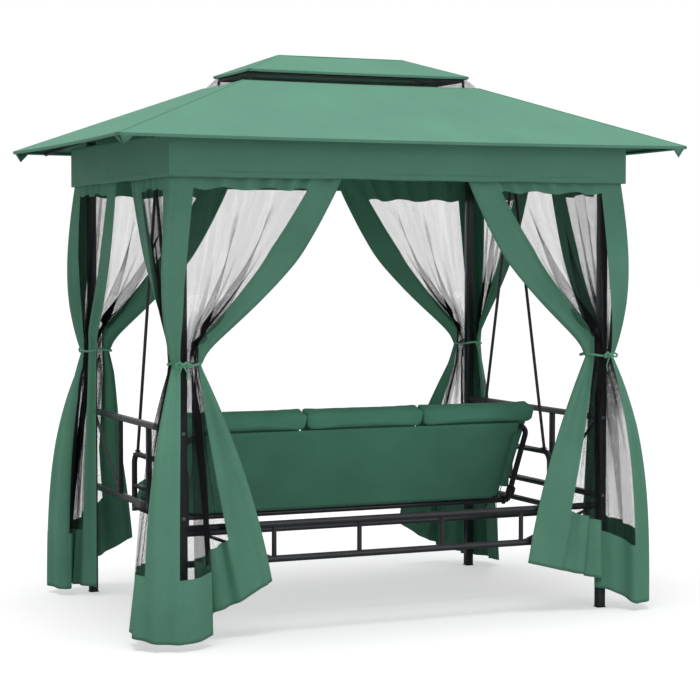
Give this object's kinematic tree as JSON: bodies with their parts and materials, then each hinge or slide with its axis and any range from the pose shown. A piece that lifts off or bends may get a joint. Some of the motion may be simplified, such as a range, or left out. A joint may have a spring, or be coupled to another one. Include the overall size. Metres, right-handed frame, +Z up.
{
  "type": "canopy swing bench",
  "caption": "Garden swing bench hung in a four-post gazebo with a two-tier fabric roof, tied-back net curtains and a backrest that folds flat.",
  "frame": {"origin": "middle of the bounding box's base, on the ground", "axes": "+X along the bench towards its left end as seen from behind, -Y the way a sitter faces, +Z up"},
  "size_m": [2.546, 1.592, 2.4],
  "materials": {
    "coated_steel": "satin anthracite powder coat",
    "black_plastic": "matte moulded plastic",
    "zinc_steel": "zinc plated",
    "canopy_cloth": "plain-woven coated polyester",
    "curtain_cloth": "plain-woven polyester, matte",
    "cushion_cloth": "plain-woven polyester cover, padded",
    "net": "fine mosquito net"
  },
  "bodies": {
    "gazebo": {"rear_ladder": "coated_steel", "vent_frame": "coated_steel", "end_panel_left": "coated_steel", "end_panel_right": "coated_steel", "crown_frame": "coated_steel", "curtain_front_left": "curtain_cloth", "curtain_front_right": "curtain_cloth", "hip_rafter_rear_left": "coated_steel", "hip_rafter_rear_right": "coated_steel", "hip_rafter_front_left": "coated_steel", "hip_rafter_front_right": "coated_steel", "curtain_rear_left": "curtain_cloth", "curtain_rear_right": "curtain_cloth", "hanger_bracket_left": "coated_steel", "hanger_bracket_right": "coated_steel", "post_rear_left": "coated_steel", "post_rear_right": "coated_steel", "post_front_left": "coated_steel", "post_front_right": "coated_steel", "top_beam_rear": "coated_steel", "top_beam_front": "coated_steel", "top_beam_left": "coated_steel", "hanger_beam_left": "coated_steel", "top_beam_right": "coated_steel", "hanger_beam_right": "coated_steel", "lower_canopy": "canopy_cloth", "vent_net": "net", "valance": "canopy_cloth", "foot_plug_rear_left": "black_plastic", "foot_plug_rear_right": "black_plastic", "foot_plug_front_left": "black_plastic", "foot_plug_front_right": "black_plastic", "vent_canopy": "canopy_cloth"},
    "swing": {"seat_frame": "coated_steel", "end_frame_left": "coated_steel", "end_frame_right": "coated_steel", "seat_cushion_left": "cushion_cloth", "seat_cushion_middle": "cushion_cloth", "seat_cushion_right": "cushion_cloth", "hanging_rod_left_front": "coated_steel", "hanging_rod_left_rear": "coated_steel", "hanging_rod_right_front": "coated_steel", "hanging_rod_right_rear": "coated_steel", "hinge_collar_left": "coated_steel", "hinge_collar_right": "coated_steel", "pillow_left": "cushion_cloth", "pillow_right": "cushion_cloth", "pivot_pin_left": "zinc_steel", "pivot_pin_right": "zinc_steel", "rear_bar": "coated_steel"},
    "backrest": {"backrest_frame": "coated_steel", "back_cushion_left": "cushion_cloth", "back_cushion_middle": "cushion_cloth", "back_cushion_right": "cushion_cloth", "backrest_cover": "cushion_cloth"}
  },
  "joints": [
    {"name": "swing_pivot", "type": "hinge", "parent": "gazebo", "child": "swing", "pos_m": [0, 0, 1.891], "axis": [-1, 0, 0], "range_deg": [-8.5, 8.5]},
    {"name": "backrest_fold", "type": "hinge", "parent": "swing", "child": "backrest", "pos_m": [0, 0.046, 0.41], "axis": [-1, 0, 0], "range_deg": [0, 62]}
  ]
}
